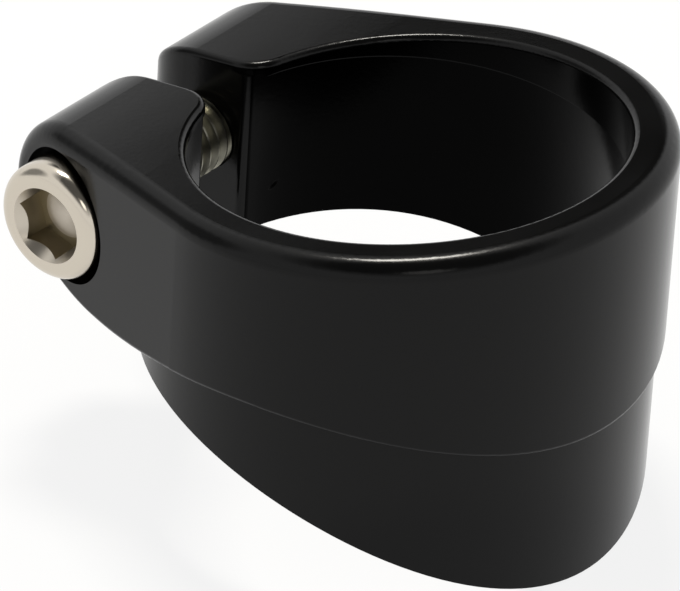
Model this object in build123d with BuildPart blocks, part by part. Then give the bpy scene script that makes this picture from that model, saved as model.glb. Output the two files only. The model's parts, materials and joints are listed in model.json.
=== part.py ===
from build123d import *
import os
from math import atan, cos, degrees, radians, sin, tan

# Seatpost clamp. Origin on the bore axis, level with the underside of the top lip, where the end of
# the seat tube stops. +Z up, +X away from the slot, the screw along Y with its head at -Y. Millimetres.

# Bore and ring
seat_tube_d = 34.9      # outside diameter of the seat tube
tube_clearance = 0.05   # radial clearance of the open bore on the seat tube
lip_overhang = 0.85     # how far the top lip reaches over the end of the tube
lip_chamfer = 0.25      # lower edge of the lip
band_wall = 2.8         # wall of the gripping band
skirt_wall = 2.2        # wall of the skirt below the band

# Rim
rim_h = 3.4             # height of the rim above the lip's underside, on the bore axis
rim_slope = 7.6         # slope of the rim in degrees, higher away from the slot
edge_r = 1.5            # rounding of the outer edge along rim and ear ends
inner_edge_r = 0.5      # rounding of the edge along slot and lip

# Ears and slot
ear_width = 21.8        # width over both ears at their ends
ear_dip = 0.2           # how far the rim curves down to the ears' round ends
ear_dip_l = 10.0        # length of that curve along the rim, from the screw axis
slot_gap = 5.0          # open slot between the ears
slot_mouth_x = 3.4      # start of the slot's curved mouth beyond the band's outside
slot_mouth_open = 3.4   # how far the mouth curves back each ear at its end
lip_tip_r = 3.2         # corner of the lip at the slot
bore_tip_r = 0.8        # corner of the bore at the slot

# Lower edge of band and ears, as depths below the lip's underside
ear_turn = 22.0         # angle below the screw axis where the ear's round end stops, in degrees
ear_low = 13.0          # lowest point under the ears
ear_low_back = 2.5      # that point's distance inside the band's outside
crown_low = 10.05       # crown of the arch
crown_x = 3.0           # crown's place along X
front_low = 14.4        # at the front, where the curve runs clear of the band
low_edge_r = 0.35       # rounding of this edge

# Lower edge of the skirt
skirt_back_low = 14.0   # at the slot side, where the curve runs clear of the band
skirt_mid_low = 16.7    # on the bore axis
skirt_front_low = 28.2  # at the front, likewise

# Clamp screw
screw_d = 6.0           # thread's outside diameter
screw_l = 20.0          # length below the head
screw_tip = 0.8         # chamfer of the screw's tip
screw_x = 1.35          # screw axis beyond the band's outside
screw_z = 6.6           # screw axis below the lip's underside
head_d = 9.5
head_h = 6.0
head_edge_r = 1.1       # rounding of the head's outer edge
head_seat_y = 9.95      # head's seat from the middle of the slot
hex_af = 5.0            # socket across its flats
hex_turn = 13.0         # socket's turn about the screw axis in degrees
hex_depth = 2.6
hex_drill_d = 4.4       # drilled start of the socket
hex_floor = 0.45        # depth of the drill cone at the socket's floor
mouth_d = 6.2           # countersink at the socket's mouth
mouth_depth = 1.2       # where the countersink meets the drilled start
spotface_d = 10.6       # round pocket for the head
pass_clearance = 0.25   # radial clearance of the screw in the near ear
thread_clearance = 0.05  # radial clearance of the screw in the far ear's tapped hole

# Worked out from the sizes above
overrun = 2.0           # how far cutting shapes run past a face
bore_r = seat_tube_d / 2 + tube_clearance
lip_r = bore_r - lip_overhang
band_r = bore_r + band_wall
skirt_r = bore_r + skirt_wall
rim_turn = radians(rim_slope)
screw_dist = band_r + screw_x
rim_gap = (rim_h + screw_z) * cos(rim_turn) - screw_dist * sin(rim_turn)
ear_r = rim_gap - ear_dip
ear_end = screw_dist + ear_r
dip_x = ear_dip_l * cos(rim_turn) - screw_dist - rim_gap * sin(rim_turn)
dip_turn = degrees(2 * atan(ear_dip / ear_dip_l))
ear_top = 90 + rim_slope + dip_turn
ear_low_x = band_r - ear_low_back
mouth_x = band_r + slot_mouth_x
mouth_y = slot_gap / 2 + slot_mouth_open
slot_end = lip_r / 2
side_front = band_r + overrun
side_back = ear_end + overrun
half_width = band_r + overrun
screw_r = screw_d / 2
drill_r = hex_drill_d / 2
head_face_y = head_seat_y + head_h
screw_point = (-screw_dist, 0, -screw_z)
screw_axis = Axis(screw_point, (0, 1, 0))
screw_plane = Plane(origin=screw_point, x_dir=(1, 0, 0), z_dir=(0, 1, 0))
turned_plane = Plane(origin=screw_point, x_dir=(1, 0, 0), z_dir=(0, 0, 1))
front_top = rim_h + tan(rim_turn) * side_front
low_z = -(skirt_front_low + overrun)

# Skirt: a round sleeve cut off below along an arc that drops toward the front
with BuildPart() as skirt:
    with BuildSketch(Plane.XY.offset(low_z)):
        Circle(skirt_r)
    extrude(amount=-low_z)
    with BuildSketch(Plane.XZ.offset(-half_width)):
        with BuildLine():
            lower = ThreePointArc(
                (-side_front, -skirt_back_low), (0, -skirt_mid_low), (side_front, -skirt_front_low))
            Polyline(lower @ 1, (side_front, low_z - overrun), (-side_front, low_z - overrun), lower @ 0)
        make_face()
    extrude(amount=2 * half_width, mode=Mode.SUBTRACT)

# Slot in plan, opening out at the ear ends
with BuildSketch() as slot:
    with BuildLine():
        Line((-slot_end, slot_gap / 2), (-mouth_x, slot_gap / 2))
        TangentArc((-mouth_x, slot_gap / 2), (-ear_end, mouth_y), tangent=(-1, 0))
        Polyline((-ear_end, mouth_y), (-side_back, mouth_y), (-side_back, 0), (-slot_end, 0),
                 (-slot_end, slot_gap / 2))
    make_face()
    mirror(about=Plane.XZ)

# Collar: ring and ears drawn as one outline, then cut to a side profile with a sloped rim,
# ear ends rounded about the screw axis and an arched lower edge
with BuildPart() as collar:
    with BuildSketch(Plane.XY.offset(low_z)):
        Circle(band_r)
        with Locations((-ear_end, 0)):
            Rectangle(overrun, ear_width, align=(Align.MAX, Align.CENTER))
        make_hull()
    extrude(amount=front_top - low_z)
    with BuildSketch(Plane.XZ.offset(-half_width)):
        with BuildLine():
            ear_round = CenterArc((-screw_dist, -screw_z), ear_r, ear_top, 180 + ear_turn - ear_top)
            TangentArc((-ear_low_x, -ear_low), ear_round @ 1, tangent=(-1, 0))
            Spline((-ear_low_x, -ear_low), (crown_x, -crown_low), tangents=[(1, 0), (1, 0)])
            front_arc = TangentArc((crown_x, -crown_low), (side_front, -front_low), tangent=(1, 0))
            rim_line = Polyline(
                front_arc @ 1, (side_front, front_top), (dip_x, rim_h + tan(rim_turn) * dip_x))
            TangentArc(rim_line @ 1, ear_round @ 0, tangent=(-cos(rim_turn), -sin(rim_turn)))
        make_face()
    extrude(amount=2 * half_width, mode=Mode.INTERSECT)
    fillet(collar.edges().sort_by(Axis.Z)[-1], edge_r)
    low_faces = collar.faces().filter_by(lambda f: f.normal_at().Z < -0.5)
    fillet(low_faces.edges().sort_by(SortBy.LENGTH)[-1], low_edge_r)
    # Slot and the opening inside the lip, with their upper edge rounded
    with BuildSketch(Plane.XY.offset(low_z)) as lip_cut:
        add(slot.sketch)
        Circle(lip_r)
        fillet(lip_cut.vertices().filter_by_position(Axis.X, -lip_r, -slot_end), lip_tip_r)
    extrude(amount=front_top - low_z, mode=Mode.SUBTRACT)
    rim = collar.faces().filter_by(GeomType.PLANE).sort_by(Axis.Z)[-1]
    fillet(rim.edges().sort_by_distance((0, 0, rim_h))[0], inner_edge_r)
    # Skirt, bore for the seat tube and the chamfer where the lip meets it
    add(skirt.part)
    with BuildSketch(Plane.XY.offset(low_z)) as tube_cut:
        add(slot.sketch)
        Circle(bore_r)
        fillet(tube_cut.vertices().filter_by_position(Axis.X, -bore_r, -slot_end), bore_tip_r)
    extrude(amount=-low_z, mode=Mode.SUBTRACT)
    with BuildSketch(Plane.XZ):
        with BuildLine():
            Polyline((0, -lip_chamfer), (lip_r + 2 * lip_chamfer, -lip_chamfer), (lip_r, lip_chamfer),
                     (0, lip_chamfer), close=True)
        make_face()
    revolve(axis=Axis.Z, mode=Mode.SUBTRACT)
    # Screw holes: a round pocket for the head, a clearance hole in one ear, a tapped hole in the other
    with BuildSketch(screw_plane.offset(-head_seat_y)):
        Circle(spotface_d / 2)
    extrude(amount=-half_width, mode=Mode.SUBTRACT)
    with BuildSketch(screw_plane):
        Circle(screw_r + pass_clearance)
    extrude(amount=-half_width, mode=Mode.SUBTRACT)
    with BuildSketch(screw_plane):
        Circle(screw_r + thread_clearance)
    extrude(amount=half_width, mode=Mode.SUBTRACT)

# Clamp screw: turned head and shank with a broached hexagon socket
with BuildPart() as bolt:
    with BuildSketch(turned_plane):
        with BuildLine():
            Polyline((0, mouth_depth - head_face_y), (drill_r, mouth_depth - head_face_y),
                     (mouth_d / 2, -head_face_y), (head_d / 2 - head_edge_r, -head_face_y))
            TangentArc((head_d / 2 - head_edge_r, -head_face_y), (head_d / 2, head_edge_r - head_face_y),
                       tangent=(1, 0))
            Polyline((head_d / 2, head_edge_r - head_face_y), (head_d / 2, -head_seat_y),
                     (screw_r, -head_seat_y), (screw_r, screw_l - screw_tip - head_seat_y),
                     (screw_r - screw_tip, screw_l - head_seat_y), (0, screw_l - head_seat_y),
                     (0, mouth_depth - head_face_y))
        make_face()
    revolve(axis=screw_axis)
    with BuildSketch(screw_plane.offset(-head_face_y)):
        RegularPolygon(hex_af / 2, 6, major_radius=False, rotation=hex_turn)
    extrude(amount=hex_depth, mode=Mode.SUBTRACT)
    with BuildSketch(turned_plane):
        with BuildLine():
            Polyline((0, hex_depth - head_face_y), (drill_r, hex_depth - head_face_y),
                     (0, hex_depth + hex_floor - head_face_y), close=True)
        make_face()
    revolve(axis=screw_axis, mode=Mode.SUBTRACT)

os.makedirs("parts", exist_ok=True)
collar.part.label = "clamp_collar"
bolt.part.label = "clamp_bolt"
export_step(collar.part, "parts/clamp_collar.step")
export_step(bolt.part, "parts/clamp_bolt.step")
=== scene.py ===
import bpy
import json
from math import cos, pi, radians, sin, tan
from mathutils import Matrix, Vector

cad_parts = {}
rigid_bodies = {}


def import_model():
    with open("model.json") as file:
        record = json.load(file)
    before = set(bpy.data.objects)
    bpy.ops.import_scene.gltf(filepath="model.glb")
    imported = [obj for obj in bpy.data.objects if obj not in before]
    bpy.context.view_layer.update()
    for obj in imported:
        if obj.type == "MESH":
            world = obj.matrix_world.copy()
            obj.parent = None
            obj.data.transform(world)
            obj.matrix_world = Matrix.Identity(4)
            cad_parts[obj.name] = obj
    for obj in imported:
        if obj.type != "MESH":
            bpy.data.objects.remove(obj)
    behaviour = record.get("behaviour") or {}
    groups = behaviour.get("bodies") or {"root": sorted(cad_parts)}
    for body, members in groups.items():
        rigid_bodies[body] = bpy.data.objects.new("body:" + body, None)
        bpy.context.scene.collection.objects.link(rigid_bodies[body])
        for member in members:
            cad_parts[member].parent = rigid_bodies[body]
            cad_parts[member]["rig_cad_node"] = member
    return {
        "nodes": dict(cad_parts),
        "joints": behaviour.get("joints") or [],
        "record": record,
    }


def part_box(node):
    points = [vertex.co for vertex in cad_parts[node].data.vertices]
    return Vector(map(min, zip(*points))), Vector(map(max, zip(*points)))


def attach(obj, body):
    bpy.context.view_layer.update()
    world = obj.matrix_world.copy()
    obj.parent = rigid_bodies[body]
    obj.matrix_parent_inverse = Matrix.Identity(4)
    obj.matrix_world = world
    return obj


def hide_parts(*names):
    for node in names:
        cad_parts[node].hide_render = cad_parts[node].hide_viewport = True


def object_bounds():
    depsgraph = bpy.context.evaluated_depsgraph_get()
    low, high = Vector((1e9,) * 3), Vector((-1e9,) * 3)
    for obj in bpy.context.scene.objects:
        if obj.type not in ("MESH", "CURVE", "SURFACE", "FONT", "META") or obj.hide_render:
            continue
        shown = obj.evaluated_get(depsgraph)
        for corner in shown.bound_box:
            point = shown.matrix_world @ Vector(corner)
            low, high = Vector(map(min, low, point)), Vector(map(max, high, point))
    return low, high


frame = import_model()
cad_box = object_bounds()

# Collar: one piece of aluminium, machined, tumbled smooth and dyed black, with a satin gloss.
# It grips the seat tube when the screw draws its ears together; the far ear holds the screw's thread.
collar = frame["nodes"]["clamp_collar"]
mounts = {mount["name"]: mount for mount in frame["record"]["mounts"]}
bore_r = mounts["seat_tube"]["dims"]["r_mm"] / 1000
bore_shade_skin = 0.00006             # how far the bore's painted shade reaches past its wall
rim_h = 0.0034                  # rim above the lip's underside, on the bore axis
rim_slope = radians(7.6)        # rise of the rim away from the slot
lip_edge_r = 0.0005             # rounding of the rim's inner edge
dyed_black = (0.0025, 0.0025, 0.0025, 1)
scuff_around = radians(161.75)  # place of the scuff around the bore, from +X
scuff_low = 0.01065             # its depth below the lip's underside
scuff_tilt = radians(34.6)      # its tilt out of the level
scuff_half = (0.0007, 0.0003, 0.0003)  # half its length, height and depth
scuff_dull = 0.8                # roughness that it adds


# One step of arithmetic in a material, on numbers and on the outputs of other nodes
def calculate(tree, operation, *terms):
    step = tree.nodes.new("ShaderNodeMath")
    step.operation = operation
    for socket, term in zip(step.inputs, terms):
        if isinstance(term, bpy.types.NodeSocket):
            tree.links.new(term, socket)
        else:
            socket.default_value = term
    return step.outputs["Value"]


# Length of an offset in a material, along those of the three axes that are marked 1
def distance(tree, offset, along=(1, 1, 1)):
    marked = tree.nodes.new("ShaderNodeVectorMath")
    marked.operation = "MULTIPLY"
    marked.inputs[1].default_value = along
    length = tree.nodes.new("ShaderNodeVectorMath")
    length.operation = "LENGTH"
    tree.links.new(offset, marked.inputs[0])
    tree.links.new(marked.outputs["Vector"], length.inputs[0])
    return length.outputs["Value"]


# Fine unevenness that both metals share: a soft waviness of the gloss and a small grain
surface_grain = bpy.data.node_groups.new("surface_grain", "ShaderNodeTree")
for name in ("Wave Scale", "Grain Scale", "Low", "High"):
    surface_grain.interface.new_socket(name, in_out="INPUT", socket_type="NodeSocketFloat")
for name in ("Roughness", "Height"):
    surface_grain.interface.new_socket(name, in_out="OUTPUT", socket_type="NodeSocketFloat")
grain_in = surface_grain.nodes.new("NodeGroupInput")
grain_out = surface_grain.nodes.new("NodeGroupOutput")
point = surface_grain.nodes.new("ShaderNodeTexCoord").outputs["Object"]
wave = surface_grain.nodes.new("ShaderNodeTexNoise")
wave.inputs["Detail"].default_value = 2.0
grain = surface_grain.nodes.new("ShaderNodeTexNoise")
grain.inputs["Detail"].default_value = 3.0
span = surface_grain.nodes.new("ShaderNodeMapRange")
span.inputs["From Min"].default_value = 0.3
span.inputs["From Max"].default_value = 0.7
surface_grain.links.new(point, wave.inputs["Vector"])
surface_grain.links.new(point, grain.inputs["Vector"])
surface_grain.links.new(grain_in.outputs["Wave Scale"], wave.inputs["Scale"])
surface_grain.links.new(grain_in.outputs["Grain Scale"], grain.inputs["Scale"])
surface_grain.links.new(wave.outputs["Fac"], span.inputs["Value"])
surface_grain.links.new(grain_in.outputs["Low"], span.inputs["To Min"])
surface_grain.links.new(grain_in.outputs["High"], span.inputs["To Max"])
surface_grain.links.new(span.outputs["Result"], grain_out.inputs["Roughness"])
surface_grain.links.new(grain.outputs["Fac"], grain_out.inputs["Height"])


# A metal with that unevenness: its material, and its roughness for the material to go on from
def grained_metal(name, wave_scale, grain_scale, low, high, bump_strength, bump_height):
    metal = bpy.data.materials.new(name)
    metal.use_nodes = True
    tree = metal.node_tree
    finish = tree.nodes.new("ShaderNodeGroup")
    finish.node_tree = surface_grain
    finish.inputs["Wave Scale"].default_value = wave_scale
    finish.inputs["Grain Scale"].default_value = grain_scale
    finish.inputs["Low"].default_value = low
    finish.inputs["High"].default_value = high
    bump = tree.nodes.new("ShaderNodeBump")
    bump.inputs["Strength"].default_value = bump_strength
    bump.inputs["Distance"].default_value = bump_height
    tree.links.new(finish.outputs["Height"], bump.inputs["Height"])
    tree.links.new(bump.outputs["Normal"], tree.nodes["Principled BSDF"].inputs["Normal"])
    return metal, finish.outputs["Roughness"]


black_anodised, roughness = grained_metal(
    "black_anodised", wave_scale=90, grain_scale=2500, low=0.14, high=0.19,
    bump_strength=0.04, bump_height=0.0001)
tree = black_anodised.node_tree
shader = tree.nodes["Principled BSDF"]
shader.inputs["Base Color"].default_value = dyed_black
shader.inputs["Specular IOR Level"].default_value = 0.165
# The bored inside is painted shade: nearer the axis than the bore's wall, and below the rim, it turns
# to near-black metal without the outside's gloss, so the bore reads dark as in shade
point = tree.nodes.new("ShaderNodeTexCoord").outputs["Object"]
axes = tree.nodes.new("ShaderNodeSeparateXYZ")
tree.links.new(point, axes.inputs["Vector"])
inside = calculate(tree, "LESS_THAN", distance(tree, point, along=(1, 1, 0)), bore_r + bore_shade_skin)
level = calculate(tree, "MULTIPLY_ADD", axes.outputs["X"], -tan(rim_slope), axes.outputs["Z"])
below = calculate(tree, "LESS_THAN", level, rim_h - lip_edge_r)
bore_painted_shade = calculate(tree, "MULTIPLY", inside, below)
# Painted shade: the bore's inside goes near-black
tree.links.new(bore_painted_shade, shader.inputs["Metallic"])
# A small dull scuff on the bore's wall, below the screw
scuff_place = tree.nodes.new("ShaderNodeMapping")
scuff_place.vector_type = "TEXTURE"
scuff_place.inputs["Location"].default_value = (
    bore_r * cos(scuff_around), bore_r * sin(scuff_around), -scuff_low)
scuff_place.inputs["Rotation"].default_value = (0, -scuff_tilt, scuff_around - pi / 2)
scuff_place.inputs["Scale"].default_value = scuff_half
scuff = tree.nodes.new("ShaderNodeMapRange")
scuff.inputs["From Min"].default_value = 0.3
scuff.inputs["To Min"].default_value = 1.0
scuff.inputs["To Max"].default_value = 0.0
tree.links.new(point, scuff_place.inputs["Vector"])
tree.links.new(distance(tree, scuff_place.outputs["Vector"]), scuff.inputs["Value"])
scuffed = calculate(tree, "MULTIPLY_ADD", scuff.outputs["Result"], scuff_dull, roughness)
tree.links.new(scuffed, shader.inputs["Roughness"])
for slot in collar.material_slots:
    slot.material = black_anodised

# Clamp screw: a stainless M6 cap screw, turned and polished, with a broached hexagon socket.
# Its thread is cut along the shank from the tip to just short of the head, and turns in the far ear.
screw_axis = Vector(frame["joints"][0]["pos_m"])
face_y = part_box("clamp_bolt")[0].y
tip_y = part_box("clamp_bolt")[1].y
head_h = 0.006                  # height of the head
pitch = 0.001
crest_r = 0.003
groove_deep = 0.5413 * pitch    # depth of a metric thread
root_r = crest_r - groove_deep
root_flat = pitch / 4
flank = tan(radians(30))        # slope of the groove's flanks
cut_r = crest_r + 0.0001        # the groove's cutter runs past the shank
plain_l = pitch                 # plain shank left under the head
turns = round((tip_y - face_y - head_h - plain_l) / pitch)
steps = 48                      # faces along one turn of the groove
mouth_r = 0.0031                # countersink at the socket's mouth
drill_r = 0.0022                # where the countersink ends
drill_deep = 0.0012             # its depth under the head's face there
mask_skin = 0.00002             # masks start this far off the surface that they tell apart
socket_deep = 0.0026 - mask_skin  # where the socket's floor begins
shank_deep = head_h - mask_skin  # where the shank begins
zone_span = 2 * head_h          # depth that the ramp of tones covers
steel_tone = (0.61, 0.555, 0.47, 1)
# Painted shade on the socket's walls, and painted light on its floor, lighter than the walls
socket_wall_painted_shade = (0.32, 0.28, 0.20, 1)
socket_floor_painted_light = (0.52, 0.47, 0.40, 1)
# Painted shade on the shank, where it lies between the ears
shank_painted_shade = (0.28, 0.27, 0.22, 1)
socket_dull = 0.2               # roughness added within the mouth

bpy.ops.object.select_all(action="DESELECT")
bpy.context.view_layer.objects.active = frame["nodes"]["clamp_bolt"]
frame["nodes"]["clamp_bolt"].select_set(True)
bpy.ops.object.duplicate()
screw = bpy.context.active_object
screw.name = "threaded_screw"
screw.parent = None
del screw["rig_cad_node"]
bpy.ops.object.mode_set(mode="EDIT")
bpy.ops.mesh.select_all(action="SELECT")
bpy.ops.mesh.remove_doubles(threshold=1e-6)
bpy.ops.object.mode_set(mode="OBJECT")
bpy.ops.mesh.customdata_custom_splitnormals_clear()

# The thread's groove: its profile is wound along the shank from beyond the tip, then cut from the screw
bpy.ops.object.select_all(action="DESELECT")
bpy.ops.mesh.primitive_plane_add(size=1, location=(screw_axis.x, tip_y + pitch / 2, screw_axis.z))
groove = bpy.context.active_object
for corner in groove.data.vertices:
    reach = cut_r if corner.co.x > 0 else root_r
    half_width = root_flat / 2 + (reach - root_r) * flank
    corner.co = (reach, half_width if corner.co.y > 0 else -half_width, 0)
winding = groove.modifiers.new("winding", "SCREW")
winding.axis = "Y"
winding.angle = 2 * pi
winding.screw_offset = -pitch
winding.iterations = turns
winding.steps = steps
winding.render_steps = steps
winding.use_normal_calculate = True
bpy.ops.object.modifier_apply(modifier="winding")
bpy.ops.object.transform_apply(location=True, rotation=True, scale=True)
bpy.ops.object.mode_set(mode="EDIT")
bpy.ops.mesh.select_all(action="SELECT")
bpy.ops.mesh.fill_holes(sides=0)
bpy.ops.mesh.select_all(action="SELECT")
bpy.ops.mesh.normals_make_consistent(inside=False)
bpy.ops.object.mode_set(mode="OBJECT")
thread = screw.modifiers.new("thread", "BOOLEAN")
thread.operation = "DIFFERENCE"
thread.solver = "EXACT"
thread.object = groove
bpy.ops.object.select_all(action="DESELECT")
bpy.context.view_layer.objects.active = screw
screw.select_set(True)
bpy.ops.object.modifier_apply(modifier="thread")
bpy.ops.object.shade_smooth_by_angle(angle=radians(30))
bpy.data.objects.remove(groove)

polished_steel, roughness = grained_metal(
    "polished_steel", wave_scale=300, grain_scale=4000, low=0.10, high=0.16,
    bump_strength=0.05, bump_height=0.00005)
tree = polished_steel.node_tree
shader = tree.nodes["Principled BSDF"]
shader.inputs["Metallic"].default_value = 1.0
# All that lies nearer the axis than the mouth's edge is duller than the polished outside. Past the
# countersink its tone is painted light and shade that goes by depth under the head's face: painted
# shade on the socket wall, painted light on the socket floor, painted shade on the shank.
point = tree.nodes.new("ShaderNodeTexCoord").outputs["Object"]
from_face = tree.nodes.new("ShaderNodeVectorMath")
from_face.operation = "SUBTRACT"
from_face.inputs[1].default_value = (screw_axis.x, face_y, screw_axis.z)
axes = tree.nodes.new("ShaderNodeSeparateXYZ")
tree.links.new(point, from_face.inputs[0])
tree.links.new(from_face.outputs["Vector"], axes.inputs["Vector"])
depth = axes.outputs["Y"]
radius = distance(tree, from_face.outputs["Vector"], along=(1, 0, 1))
inside = calculate(tree, "LESS_THAN", radius, mouth_r)
cone = calculate(tree, "MULTIPLY_ADD", depth, (mouth_r - drill_r) / drill_deep, radius)
past_cone = calculate(tree, "GREATER_THAN", cone, mouth_r + mask_skin)
deep = calculate(tree, "GREATER_THAN", depth, socket_deep)
within = calculate(tree, "MULTIPLY", inside, calculate(tree, "MAXIMUM", past_cone, deep))
socket_shade_zones = tree.nodes.new("ShaderNodeValToRGB")
socket_shade_zones.color_ramp.interpolation = "CONSTANT"
socket_shade_zones.color_ramp.elements[0].color = socket_wall_painted_shade
socket_shade_zones.color_ramp.elements[1].position = socket_deep / zone_span
socket_shade_zones.color_ramp.elements[1].color = socket_floor_painted_light
socket_shade_zones.color_ramp.elements.new(shank_deep / zone_span).color = shank_painted_shade
tree.links.new(calculate(tree, "DIVIDE", depth, zone_span), socket_shade_zones.inputs["Fac"])
# Painted light and shade inside the socket and on the shank, laid over the steel's own tone
socket_shade_tint = tree.nodes.new("ShaderNodeMix")
socket_shade_tint.data_type = "RGBA"
socket_shade_tint.inputs["A"].default_value = steel_tone
tree.links.new(within, socket_shade_tint.inputs["Factor"])
tree.links.new(socket_shade_zones.outputs["Color"], socket_shade_tint.inputs["B"])
tree.links.new(socket_shade_tint.outputs["Result"], shader.inputs["Base Color"])
dulled = calculate(tree, "MULTIPLY_ADD", inside, socket_dull, roughness)
tree.links.new(dulled, shader.inputs["Roughness"])
screw.data.materials.clear()
screw.data.materials.append(polished_steel)
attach(screw, "bolt")
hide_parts("clamp_bolt")

# Stage: a white floor just under the skirt and a white surround, which the metal shows too.
# A soft lamp stands high behind and a small weak one below the camera. Dark cards above the camera,
# behind and at the left are seen only in the metal, and keep the black surfaces black.
floor_size = 6
floor_gap = 0.0002              # floor below the skirt's lowest edge
paper_tone = (0.85, 0.85, 0.85, 1)
floor_glow = 0.85               # share of plain white in the floor where it is looked at
surround_tone = (0.4, 0.4, 0.4, 1)
white = (1, 1, 1, 1)
card_tone = (0.005, 0.005, 0.005, 1)


# 1 for what the camera sees, by itself or in metal and glass, and 0 for light on its way to the object
def looked_at(tree):
    rays = tree.nodes.new("ShaderNodeLightPath")
    mirrored = calculate(
        tree, "MAXIMUM", rays.outputs["Is Glossy Ray"], rays.outputs["Is Transmission Ray"])
    return calculate(tree, "MAXIMUM", rays.outputs["Is Camera Ray"], mirrored)


bpy.ops.object.select_all(action="DESELECT")
bpy.ops.mesh.primitive_plane_add(size=floor_size, location=(0, 0, cad_box[0].z - floor_gap))
floor = bpy.context.active_object
floor.name = "floor"
floor_white = bpy.data.materials.new("floor_white")
floor_white.use_nodes = True
tree = floor_white.node_tree
tree.nodes.clear()
paper = tree.nodes.new("ShaderNodeBsdfDiffuse")
paper.inputs["Color"].default_value = paper_tone
glow = tree.nodes.new("ShaderNodeEmission")
glow.inputs["Color"].default_value = white
mixed = tree.nodes.new("ShaderNodeMixShader")
surface = tree.nodes.new("ShaderNodeOutputMaterial")
tree.links.new(calculate(tree, "MULTIPLY", looked_at(tree), floor_glow), mixed.inputs["Fac"])
tree.links.new(paper.outputs["BSDF"], mixed.inputs[1])
tree.links.new(glow.outputs["Emission"], mixed.inputs[2])
tree.links.new(mixed.outputs["Shader"], surface.inputs["Surface"])
floor.data.materials.append(floor_white)

world = bpy.data.worlds.new("surround")
bpy.context.scene.world = world
world.use_nodes = True
tree = world.node_tree
tone = tree.nodes.new("ShaderNodeMix")
tone.data_type = "RGBA"
tone.inputs["A"].default_value = surround_tone
tone.inputs["B"].default_value = white
tree.links.new(looked_at(tree), tone.inputs["Factor"])
tree.links.new(tone.outputs["Result"], tree.nodes["Background"].inputs["Color"])


# Turns a lamp's or a card's face to the clamp
def face_clamp(thing):
    thing.rotation_euler = thing.location.to_track_quat("Z", "Y").to_euler()


bpy.ops.object.light_add(type="AREA", location=(-0.160, 0.113, 0.466))
high_lamp = bpy.context.active_object
high_lamp.name = "high_lamp"
high_lamp.data.shape = "RECTANGLE"
high_lamp.data.size = 0.13
high_lamp.data.size_y = 0.09
high_lamp.data.energy = 2.4
high_lamp.data.color = (1.0, 0.96, 0.88)
face_clamp(high_lamp)
bpy.ops.object.light_add(type="AREA", location=(0.252, -0.288, 0.238))
low_lamp = bpy.context.active_object
low_lamp.name = "low_lamp"
low_lamp.data.shape = "DISK"
low_lamp.data.size = 0.14
low_lamp.data.energy = 0.09
low_lamp.data.color = (1.0, 0.98, 0.94)
face_clamp(low_lamp)

# A card is dark in its middle and fades out toward its edge, which lies at 1 in its own coordinates
card_black = bpy.data.materials.new("card_black")
card_black.use_nodes = True
tree = card_black.node_tree
tree.nodes.clear()
point = tree.nodes.new("ShaderNodeTexCoord").outputs["Object"]
fade = tree.nodes.new("ShaderNodeMapRange")
fade.inputs["From Min"].default_value = 0.5
fade.inputs["From Max"].default_value = 0.95
fade.inputs["To Min"].default_value = 1.0
fade.inputs["To Max"].default_value = 0.0
card_density = tree.nodes.new("ShaderNodeObjectInfo").outputs["Alpha"]
clear = tree.nodes.new("ShaderNodeBsdfTransparent")
dark = tree.nodes.new("ShaderNodeBsdfDiffuse")
dark.inputs["Color"].default_value = card_tone
mixed = tree.nodes.new("ShaderNodeMixShader")
surface = tree.nodes.new("ShaderNodeOutputMaterial")
tree.links.new(distance(tree, point), fade.inputs["Value"])
tree.links.new(calculate(tree, "MULTIPLY", fade.outputs["Result"], card_density), mixed.inputs["Fac"])
tree.links.new(clear.outputs["BSDF"], mixed.inputs[1])
tree.links.new(dark.outputs["BSDF"], mixed.inputs[2])
tree.links.new(mixed.outputs["Shader"], surface.inputs["Surface"])
# Name, place, radius and density of each card
cards = (
    ("camera_card", (0.218, -0.290, 0.656), 0.900, 0.9),
    ("back_card", (-0.196, 0.285, 0.205), 0.162, 1.0),
    ("left_card", (-0.425, -0.225, 0.140), 0.240, 0.7),
)
for name, place, card_r, density in cards:
    bpy.ops.object.select_all(action="DESELECT")
    bpy.ops.mesh.primitive_plane_add(size=2, location=place)
    card = bpy.context.active_object
    card.name = name
    card.scale = (card_r, card_r, card_r)
    face_clamp(card)
    card.data.materials.append(card_black)
    card.color = (0, 0, 0, density)
    card.visible_camera = False
    card.visible_diffuse = False
    card.visible_shadow = False

# Camera: a long lens above the rim and to the right of the screw's head, as in the photograph.
# Its place, turn and lens are fitted to the rim, the bore and the ears there.
camera_place = (0.29872, -0.40892, 0.31880)
camera_turn = (radians(56.866), radians(-2.9662), radians(38.5852))
bpy.ops.object.camera_add(location=camera_place, rotation=camera_turn)
camera = bpy.context.active_object
camera.data.sensor_width = 36.0
camera.data.lens = 423.53
camera.data.clip_start = 0.01
camera.data.clip_end = 20.0
bpy.context.scene.camera = camera

bpy.context.scene.view_settings.view_transform = "Standard"
